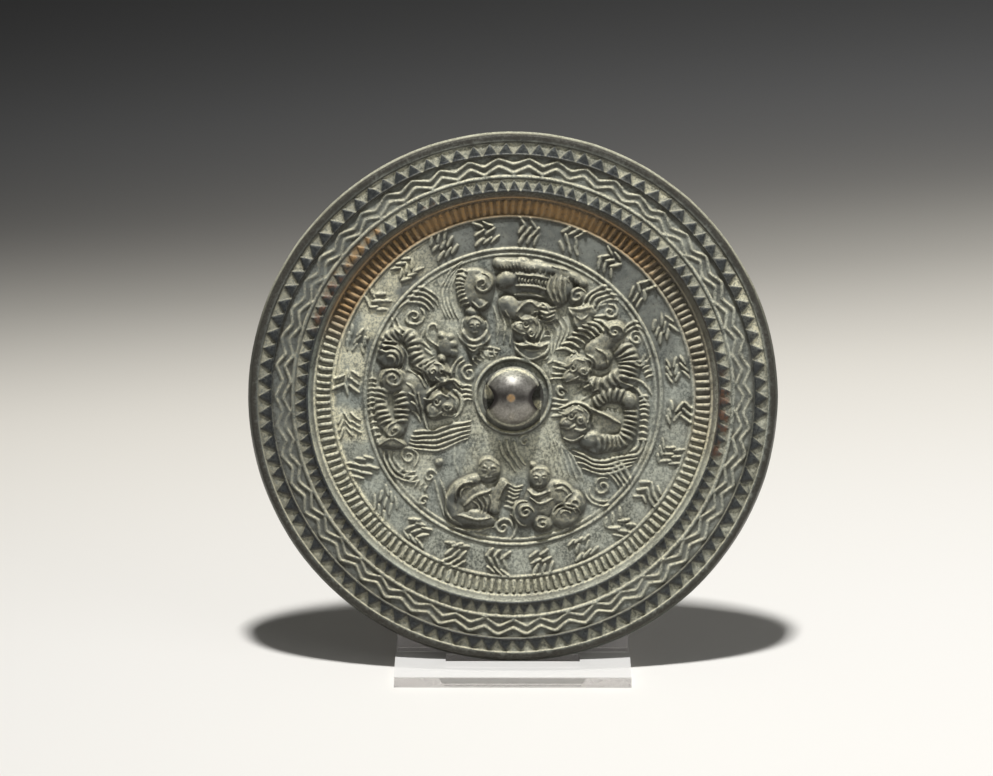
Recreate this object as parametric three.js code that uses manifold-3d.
// A round cast bronze mirror, relief side forward, leaning in a clear acrylic display stand.
// Millimetres, +Z up. The origin is the middle of the stand's underside; the relief looks towards -Y.
// The mirror is modelled flat, relief up, in its own face frame: X right, Y up the face, Z out of the relief.
import * as THREE from "three";
import { mergeVertices } from "three/addons/utils/BufferGeometryUtils.js";
import Module from "manifold-3d";

const wasm = await Module();
wasm.setup();

// The disc
const mirrorRadius = 70.5; // at the reflecting face, its widest place
const edgeFlare = 1.0; // how much narrower the relief side is
const rimThickness = 4.8;
const fieldThickness = 2.0;
const faceBulge = 1.0; // the reflecting face is slightly convex
const roundSteps = 48;

// The bands of the relief, each by its width along the radius, from the edge inwards
const borderWidth = 1.0;
const outerTeethWidth = 3.2;
const outerRingWidth = 0.8;
const zigzagBandWidth = 5.6;
const dividerWidth = 1.0;
const innerTeethWidth = 3.4;
const lipWidth = 0.7;
const rimSlopeWidth = 1.6;
const combWidth = 3.9;
const combLineWidth = 1.0;
const inscriptionWidth = 7.6;
const fieldLineWidth = 1.0;

// What the bands repeat
const outerTeethCount = 98;
const innerTeethCount = 110;
const zigzagCount = 50;
const combCount = 164;
const signCount = 24;

// How far the relief stands up
const toothRise = 0.65;
const zigzagRise = 0.5;
const zigzagLineWidth = 0.9;
const lineRise = 0.6;
const combRise = 0.45;
const combStrokeWidth = 1.3;
const strokeRise = 0.5;
const strokeWidth = 0.9;
const figureRise = 2.0;
const scrollRise = 0.5;
const scrollLineWidth = 0.9;
const swellingSides = 7;
const scrollSteps = 7; // in one turn
const sink = 0.3; // how deep a raised piece is rooted in what carries it

// The knob and its cord hole
const knobRadius = 8.15;
const knobRise = 7.4;
const collarRadius = 10.2;
const collarWidth = 0.7;
const collarRise = 0.6;
const holeWidth = 7.2;
const holeHeight = 5.8;
const holeCorner = 2.4;
const holeFloor = 0.1; // above the field

// The stand
const leanDegrees = 15; // the mirror leans back from upright
const footWidth = 62.5;
const footDepth = 58;
const sheetThickness = 3.0; // of the acrylic
const frontStripDepth = 11.4; // foot in front of the groove
const grooveLength = 35.6;
const grooveDepth = 2.0;
const backWidth = 61.5;
const backHeight = 58;
const backCorner = 5;
const clearance = 0.3; // between the mirror and the stand

// Radii and levels that follow from the sizes above
const reliefEdgeRadius = mirrorRadius - edgeFlare;
const outerTipRadius = reliefEdgeRadius - borderWidth;
const outerRootRadius = outerTipRadius - outerTeethWidth;
const zigzagOuterRadius = outerRootRadius - outerRingWidth;
const dividerOuterRadius = zigzagOuterRadius - zigzagBandWidth;
const innerTipRadius = dividerOuterRadius - dividerWidth;
const innerRootRadius = innerTipRadius - innerTeethWidth;
const rimInnerRadius = innerRootRadius - lipWidth;
const combOuterRadius = rimInnerRadius - rimSlopeWidth;
const combInnerRadius = combOuterRadius - combWidth;
const inscriptionOuterRadius = combInnerRadius - combLineWidth;
const inscriptionInnerRadius = inscriptionOuterRadius - inscriptionWidth;
const fieldRadius = inscriptionInnerRadius - fieldLineWidth;
const rimFloor = rimThickness - toothRise;
const percent = fieldRadius / 100; // figures and scrolls are laid out in hundredths of the field's radius

const lean = THREE.MathUtils.degToRad(leanDegrees);
const fullTurn = 2 * Math.PI;

// A closed geometry as a solid that can be joined and cut.
function solid(geometry) {
  const bare = geometry.index ? geometry.toNonIndexed() : geometry.clone();
  bare.deleteAttribute("normal");
  bare.deleteAttribute("uv");
  const merged = mergeVertices(bare, 1e-4);
  return new wasm.Manifold(
    new wasm.Mesh({
      numProp: 3,
      vertProperties: merged.attributes.position.array,
      triVerts: new Uint32Array(merged.index.array),
    }),
  );
}

function geometryOf(made) {
  const mesh = made.getMesh();
  const geometry = new THREE.BufferGeometry();
  geometry.setAttribute("position", new THREE.BufferAttribute(mesh.vertProperties, 3));
  geometry.setIndex(new THREE.BufferAttribute(mesh.triVerts, 1));
  return geometry;
}

function onCircle(radius, angle) {
  return new THREE.Vector2(radius * Math.cos(angle), radius * Math.sin(angle));
}

// A profile of [radius, height] pairs, turned about the face's middle.
function turned(profile, steps) {
  const points = profile.map(([radius, height]) => new THREE.Vector2(radius, height));
  return new THREE.LatheGeometry(points, steps).rotateX(Math.PI / 2);
}

// A raised line of roof-shaped section along points in the face plane, with mitred corners.
function ridge(points, width, foot, rise, closed = false) {
  const corners = [];
  const count = points.length;
  for (let i = 0; i < count; i++) {
    const before = points[closed ? (i + count - 1) % count : Math.max(i - 1, 0)];
    const after = points[closed ? (i + 1) % count : Math.min(i + 1, count - 1)];
    const here = points[i];
    const inward = here.clone().sub(before).normalize();
    const outward = after.clone().sub(here).normalize();
    const along = inward.add(outward).normalize();
    const aside = new THREE.Vector2(-along.y, along.x);
    const flank = outward.lengthSq() > 0 ? outward : along;
    const mitre = 1 / Math.max(0.5, Math.abs(along.dot(flank)));
    aside.multiplyScalar((width / 2) * mitre);
    corners.push([here.x + aside.x, here.y + aside.y, foot]);
    corners.push([here.x - aside.x, here.y - aside.y, foot]);
    corners.push([here.x, here.y, foot + rise]);
  }
  const faces = [];
  const spans = closed ? count : count - 1;
  for (let i = 0; i < spans; i++) {
    const [left, right, top] = [3 * i, 3 * i + 1, 3 * i + 2];
    const next = 3 * ((i + 1) % count);
    const [nextLeft, nextRight, nextTop] = [next, next + 1, next + 2];
    faces.push([left, top, nextTop], [left, nextTop, nextLeft]);
    faces.push([right, nextRight, nextTop], [right, nextTop, top]);
    faces.push([left, nextLeft, nextRight], [left, nextRight, right]);
  }
  if (!closed) {
    const end = 3 * (count - 1);
    faces.push([0, 1, 2], [end, end + 2, end + 1]);
  }
  return geometryFrom(corners, faces);
}

function geometryFrom(corners, faces) {
  const geometry = new THREE.BufferGeometry();
  geometry.setAttribute("position", new THREE.Float32BufferAttribute(corners.flat(), 3));
  geometry.setIndex(faces.flat());
  return geometry;
}

// A flat ring whose outer edge is cut into pointed teeth.
function toothedRing(count, tipRadius, rootRadius, holeRadius, foot, rise) {
  const outline = [];
  for (let i = 0; i < count; i++) {
    outline.push(onCircle(rootRadius, ((i - 0.5) / count) * fullTurn));
    outline.push(onCircle(tipRadius, (i / count) * fullTurn));
  }
  const shape = new THREE.Shape(outline);
  shape.holes.push(new THREE.Path().absarc(0, 0, holeRadius, 0, fullTurn, true));
  const settings = { depth: rise, bevelEnabled: false, curveSegments: roundSteps / 2 };
  return new THREE.ExtrudeGeometry(shape, settings).translate(0, 0, foot);
}

// A low swelling on the field, oval and turned, as the masses of the figures are.
function swelling(x, y, reachX, reachY, turnDegrees = 0, share = 1) {
  const rise = figureRise * share;
  const section = [[0, -sink], [1, -sink], [0.74, 0.68 * rise], [0, rise]];
  const geometry = turned(section, swellingSides);
  geometry.scale(reachX * percent, reachY * percent, 1);
  geometry.rotateZ(THREE.MathUtils.degToRad(turnDegrees));
  return geometry.translate(x * percent, y * percent, fieldThickness);
}

// A raised line on the field through points in hundredths of its radius.
function fieldLine(points, width = scrollLineWidth, rise = scrollRise) {
  const path = points.map(([x, y]) => new THREE.Vector2(x, y).multiplyScalar(percent));
  return ridge(path, width, fieldThickness - sink, rise + sink);
}

// Lines side by side, from the first path to the last.
function sideBySide(count, first, last, width, rise) {
  const lines = [];
  for (let i = 0; i < count; i++) {
    const share = i / (count - 1);
    const mixed = first.map(([x, y], k) => [x + (last[k][0] - x) * share, y + (last[k][1] - y) * share]);
    lines.push(fieldLine(mixed, width, rise));
  }
  return lines;
}

// A cloud scroll that winds inwards from its tail.
function scroll(x, y, reach, tailDegrees, turns) {
  const steps = Math.round(scrollSteps * Math.abs(turns));
  const points = [];
  for (let i = 0; i <= steps; i++) {
    const share = i / steps;
    const place = onCircle(
      reach * (1 - 0.8 * share),
      THREE.MathUtils.degToRad(tailDegrees) + turns * fullTurn * share,
    );
    points.push([x + place.x, y + place.y]);
  }
  return fieldLine(points);
}

function discBody() {
  const edgeBand = 0.8; // upright part of the edge, next to the reflecting face
  const borderDrop = 0.4; // the border falls outwards
  const dividerMiddle = dividerOuterRadius - dividerWidth / 2;
  const combLineMiddle = combInnerRadius - combLineWidth / 2;
  const fieldLineMiddle = inscriptionInnerRadius - fieldLineWidth / 2;
  return turned(
    [
      [0, -faceBulge],
      [mirrorRadius / 2, -faceBulge * 0.75],
      [mirrorRadius, 0],
      [mirrorRadius, edgeBand],
      [reliefEdgeRadius, rimThickness - borderDrop],
      [outerTipRadius, rimThickness],
      [outerTipRadius, rimFloor],
      [dividerOuterRadius, rimFloor],
      [dividerMiddle, rimFloor + lineRise],
      [innerTipRadius, rimFloor],
      [rimInnerRadius, rimFloor],
      [combOuterRadius, fieldThickness],
      [combInnerRadius, fieldThickness],
      [combLineMiddle, fieldThickness + lineRise],
      [inscriptionOuterRadius, fieldThickness],
      [inscriptionInnerRadius, fieldThickness],
      [fieldLineMiddle, fieldThickness + lineRise],
      [fieldRadius, fieldThickness],
      [0, fieldThickness],
    ],
    roundSteps,
  );
}

function sawBands() {
  const outer = toothedRing(
    outerTeethCount, outerTipRadius - clearance, outerRootRadius, zigzagOuterRadius,
    rimFloor - sink, toothRise + sink,
  );
  const inner = toothedRing(
    innerTeethCount, innerTipRadius - clearance, innerRootRadius, rimInnerRadius + lipWidth * 0.3,
    rimFloor - sink, toothRise + sink,
  );
  return [outer, inner];
}

// Two zigzag lines, one inside the other.
function zigzagLines() {
  const swing = zigzagBandWidth * 0.16;
  const middle = (zigzagOuterRadius + dividerOuterRadius) / 2;
  const apart = zigzagBandWidth * 0.17;
  return [middle + apart, middle - apart].map((radius) => {
    const points = [];
    for (let i = 0; i < 2 * zigzagCount; i++) {
      const side = i % 2 ? swing : -swing;
      points.push(onCircle(radius + side, (i / (2 * zigzagCount)) * fullTurn));
    }
    return ridge(points, zigzagLineWidth, rimFloor - sink, zigzagRise + sink, true);
  });
}

// Radial strokes set as close as the teeth of a comb.
function combStrokes() {
  const margin = combWidth * 0.06;
  const strokes = [];
  for (let i = 0; i < combCount; i++) {
    const angle = (i / combCount) * fullTurn;
    const ends = [onCircle(combOuterRadius - margin, angle), onCircle(combInnerRadius + margin, angle)];
    strokes.push(ridge(ends, combStrokeWidth, fieldThickness - sink, combRise + sink));
  }
  return strokes;
}

// Places of the worn inscription: rows of slanting strokes that spell nothing.
function inscriptionStrokes() {
  const rows = [
    { place: 0.74, offset: 0, length: 0.42, slant: 18 },
    { place: 0.36, offset: 0.05, length: 0.4, slant: 68 },
  ];
  const strokes = [];
  for (let i = 0; i < signCount; i++) {
    const middle = Math.PI / 2 - (i / signCount) * fullTurn;
    rows.forEach((row, k) => {
      const lilt = ((i * 5 + k * 3) % 7) / 7 - 0.5; // makes neighbouring signs differ
      const radius = inscriptionInnerRadius + inscriptionWidth * (row.place + 0.05 * lilt);
      const centre = onCircle(radius, middle + (row.offset * inscriptionWidth) / radius);
      const tilt = middle - Math.PI / 2 + THREE.MathUtils.degToRad(row.slant + 40 * lilt);
      const half = onCircle((row.length * inscriptionWidth * (1 + 0.4 * lilt)) / 2, tilt);
      const ends = [centre.clone().sub(half), centre.clone().add(half)];
      strokes.push(ridge(ends, strokeWidth, fieldThickness - sink, strokeRise + sink));
    });
  }
  return strokes;
}

// A beast that lies along the top, its mask and jaw towards the knob.
function lyingBeast() {
  const tail = [[-10, 92], [24, 89], [38, 86], [50, 79]];
  const maneFirst = [[-33, 91], [-41, 87], [-50, 81]];
  const maneLast = [[-38, 63], [-45, 56], [-47, 45]];
  return [
    swelling(-23, 75, 14.5, 14.5, 0, 1.05),
    swelling(13, 77, 26, 12.5),
    swelling(31, 70, 9.5, 13, 0, 1.1),
    swelling(0, 61, 9, 5.5, -45, 0.8),
    swelling(21.5, 58, 7, 4.6, -35, 0.8),
    swelling(11, 47.5, 12, 9.3),
    swelling(11.4, 33, 12, 5.4, 0, 0.9),
    fieldLine(tail, 5.5 * percent, figureRise * 0.7),
    ...sideBySide(5, maneFirst, maneLast),
  ];
}

// Small companions beside it: a curled bird, a wedge-shaped mask and a hooded attendant.
function companions() {
  const flowFirst = [[-12, 62], [-5, 48], [-6, 30]];
  const flowLast = [[-17, 58], [-12, 45], [-12, 28]];
  return [
    swelling(45, 70, 6.7, 7.5, 0, 0.85),
    swelling(47, 56, 8.8, 9, 0, 0.85),
    swelling(-26.4, 50, 6.7, 8.3),
    swelling(-26.6, 38, 8.6, 12, 0, 0.75),
    ...sideBySide(2, flowFirst, flowLast),
  ];
}

// A coiled beast down the left side, its broad head turned to the knob.
function coiledBeast() {
  const beardFirst = [[-60, -21], [-48, -26], [-28, -19]];
  const beardLast = [[-70, -24], [-60, -34], [-43, -33]];
  return [
    swelling(-77.5, 32.5, 13.5, 12),
    swelling(-62, 24, 9.3, 4.6, -45, 0.8),
    swelling(-52.5, 17.6, 8.8, 8.3),
    swelling(-46.5, 33, 5.2, 6.2, 0, 0.75),
    swelling(-82, 11, 9.3, 7.5, 0, 0.95),
    swelling(-86, -7.7, 5.2, 14, 0, 0.8),
    swelling(-76, -6.5, 5.7, 14, 0, 0.9),
    swelling(-82, -22.7, 7.8, 6.7, 0, 0.85),
    swelling(-82.5, -31.5, 9.8, 4.4, 0, 0.8),
    swelling(-49, -7.2, 14.5, 13.4, 0, 1.1),
    ...sideBySide(4, beardFirst, beardLast),
  ];
}

// Two beasts down the right side, one above the other.
function pairedBeasts() {
  const featherFirst = [[44, -41], [55, -44], [60, -42]];
  const featherLast = [[70, -52], [80, -47], [88, -44]];
  const staff = [[54, -8], [73, -20]];
  return [
    swelling(70, 43, 6.7, 6.7, 0, 0.9),
    swelling(64.6, 36, 5, 9, -30, 0.8),
    swelling(58.4, 27, 8.8, 9.8),
    swelling(41.3, 18, 12.4, 10.3, 0, 1.05),
    swelling(77.5, 23, 7.2, 9.8, 0, 0.85),
    swelling(78.3, 13, 6, 5.2, 0, 0.9),
    swelling(64, 11, 9, 6.2, 0, 0.85),
    swelling(64.6, -3, 9.3, 5.2, 0, 0.85),
    swelling(80, -15.5, 5.7, 17, 0, 0.9),
    swelling(66, -33, 13, 5.7, 5, 0.9),
    swelling(42, -20.7, 10.8, 14.2, 0, 1.1),
    fieldLine(staff),
    ...sideBySide(4, featherFirst, featherLast),
  ];
}

// A kneeling attendant and a seated figure with coiled sleeves, along the bottom.
function attendants() {
  const flowFirst = [[-11, -27], [0, -39], [12, -55]];
  const flowLast = [[-14, -31], [-5, -45], [8, -62]];
  return [
    swelling(-17, -50.6, 8.5, 10.3, 0, 1.1),
    swelling(-33, -63.6, 11.4, 10.3),
    swelling(-31, -76, 12, 7.7, 0, 0.9),
    swelling(-24.8, -84, 13.4, 6, 0, 1),
    swelling(-9.3, -68.7, 4.6, 9.3, 0, 0.8),
    swelling(19, -56.3, 7.5, 8.5, 0, 1.1),
    swelling(22, -72.4, 12, 10.3, 0, 0.9),
    swelling(40, -70, 8.3, 10.8, 0, 0.9),
    swelling(8.3, -81.7, 7.8, 8.8, 0, 0.85),
    swelling(22, -86.3, 7.8, 6.7, 0, 0.9),
    swelling(35, -82.7, 8.8, 7.2, 0, 0.85),
    ...sideBySide(3, flowFirst, flowLast),
  ];
}

function cloudScrolls() {
  return [
    scroll(-68.5, 55.5, 8, 60, -1.6),
    scroll(-30, 15.5, 5.6, 60, 1.5),
    scroll(-74.5, -42, 8, -60, 1.6),
    scroll(-57, -56, 5, -20, 1.2),
    scroll(-6.7, -89, 6, 0, 1.5),
    scroll(63.5, -62, 6.5, 60, 1.5),
    scroll(68.5, 58, 5.7, 100, -1.5),
    scroll(87, 37, 4.6, 60, 1.3),
  ];
}

// The domed knob in its collar.
function knob() {
  const domeSteps = 5;
  const profile = [[0, fieldThickness - sink], [knobRadius, fieldThickness - sink]];
  for (let i = 0; i <= domeSteps; i++) {
    const angle = ((i / domeSteps) * Math.PI) / 2;
    profile.push([knobRadius * Math.cos(angle), fieldThickness + knobRise * Math.sin(angle)]);
  }
  profile[profile.length - 1][0] = 0;
  const foot = fieldThickness - sink;
  const top = fieldThickness + collarRise;
  const inner = collarRadius - collarWidth;
  const collar = [[inner, foot], [collarRadius, foot], [collarRadius, top], [inner, top], [inner, foot]];
  return [turned(profile, roundSteps / 2), turned(collar, roundSteps / 2)];
}

// The hole across the knob that a cord goes through, an arch in section.
function cordHole() {
  const low = fieldThickness + holeFloor;
  const high = fieldThickness + holeHeight;
  const side = holeWidth / 2;
  const arch = new THREE.Shape();
  arch.moveTo(-side, low);
  arch.lineTo(side, low);
  arch.lineTo(side, high - holeCorner);
  arch.absarc(side - holeCorner, high - holeCorner, holeCorner, 0, Math.PI / 2, false);
  arch.absarc(-side + holeCorner, high - holeCorner, holeCorner, Math.PI / 2, Math.PI, false);
  arch.lineTo(-side, low);
  const length = 2 * (knobRadius + 0.5);
  const settings = { depth: length, bevelEnabled: false, curveSegments: 3 };
  const cutter = new THREE.ExtrudeGeometry(arch, settings);
  return cutter.translate(0, 0, -length / 2).rotateX(Math.PI / 2).rotateZ(Math.PI / 2);
}

function mirrorGeometry() {
  const raised = [
    ...sawBands(),
    ...zigzagLines(),
    ...combStrokes(),
    ...inscriptionStrokes(),
    ...lyingBeast(),
    ...companions(),
    ...coiledBeast(),
    ...pairedBeasts(),
    ...attendants(),
    ...cloudScrolls(),
    ...knob(),
  ];
  const joined = wasm.Manifold.union([solid(discBody()), ...raised.map(solid)]);
  return geometryOf(joined.subtract(solid(cordHole())));
}

// Where the flat-lying mirror goes: turned up, leaned back and set in the groove.
const grooveFloor = sheetThickness - grooveDepth;
const grooveFront = -footDepth / 2 + frontStripDepth;
const rimFront = rimThickness * Math.cos(lean) + reliefEdgeRadius * Math.sin(lean);
const mirrorHeight = grooveFloor + clearance + mirrorRadius * Math.cos(lean);
const mirrorDepth = grooveFront + clearance + rimFront;

// A box between two corners.
function box(low, high) {
  const size = low.map((value, i) => high[i] - value);
  const middle = low.map((value, i) => (high[i] + value) / 2);
  return new THREE.BoxGeometry(...size).translate(...middle);
}

// The stand: a foot with a groove for the rim, and a leaning plate behind the mirror.
function standGeometry() {
  const foot = box([-footWidth / 2, -footDepth / 2, 0], [footWidth / 2, footDepth / 2, sheetThickness]);

  // The plate is drawn upright, its front on the plane of the mirror's reflecting edge, then leaned.
  const side = backWidth / 2;
  const plate = new THREE.Shape();
  plate.moveTo(-side, -sheetThickness);
  plate.lineTo(side, -sheetThickness);
  plate.lineTo(side, backHeight - backCorner);
  plate.absarc(side - backCorner, backHeight - backCorner, backCorner, 0, Math.PI / 2, false);
  plate.absarc(-side + backCorner, backHeight - backCorner, backCorner, Math.PI / 2, Math.PI, false);
  const settings = { depth: sheetThickness, bevelEnabled: false, curveSegments: 6 };
  const faceGap = faceBulge + clearance;
  const back = new THREE.ExtrudeGeometry(plate, settings);
  back.translate(0, 0, -sheetThickness - faceGap).rotateX(Math.PI / 2 - lean);
  const reflectingFoot = mirrorDepth - (mirrorHeight - sheetThickness) * Math.tan(lean);
  back.translate(0, reflectingFoot, sheetThickness);

  const grooveBack = reflectingFoot + clearance;
  const groove = box(
    [-grooveLength / 2, grooveFront, grooveFloor],
    [grooveLength / 2, grooveBack, sheetThickness + 1],
  );
  const belowGround = box([-footWidth, -footDepth, -footDepth], [footWidth, footDepth, 0]);
  const joined = solid(foot).add(solid(back)).subtract(solid(groove));
  return geometryOf(joined.subtract(solid(belowGround)));
}

const bronze = new THREE.MeshStandardMaterial({ color: 0x55584f, roughness: 0.55, metalness: 0.6 });
const clearAcrylic = new THREE.MeshStandardMaterial({
  color: 0xf3eef0,
  roughness: 0.05,
  metalness: 0,
  transparent: true,
  opacity: 0.3,
});

const part = new THREE.Group();

const mirror = new THREE.Mesh(mirrorGeometry(), bronze);
mirror.name = "mirror";
mirror.rotation.x = Math.PI / 2 - lean;
mirror.position.set(0, mirrorDepth, mirrorHeight);
part.add(mirror);

const stand = new THREE.Mesh(standGeometry(), clearAcrylic);
stand.name = "stand";
part.add(stand);

export default part;
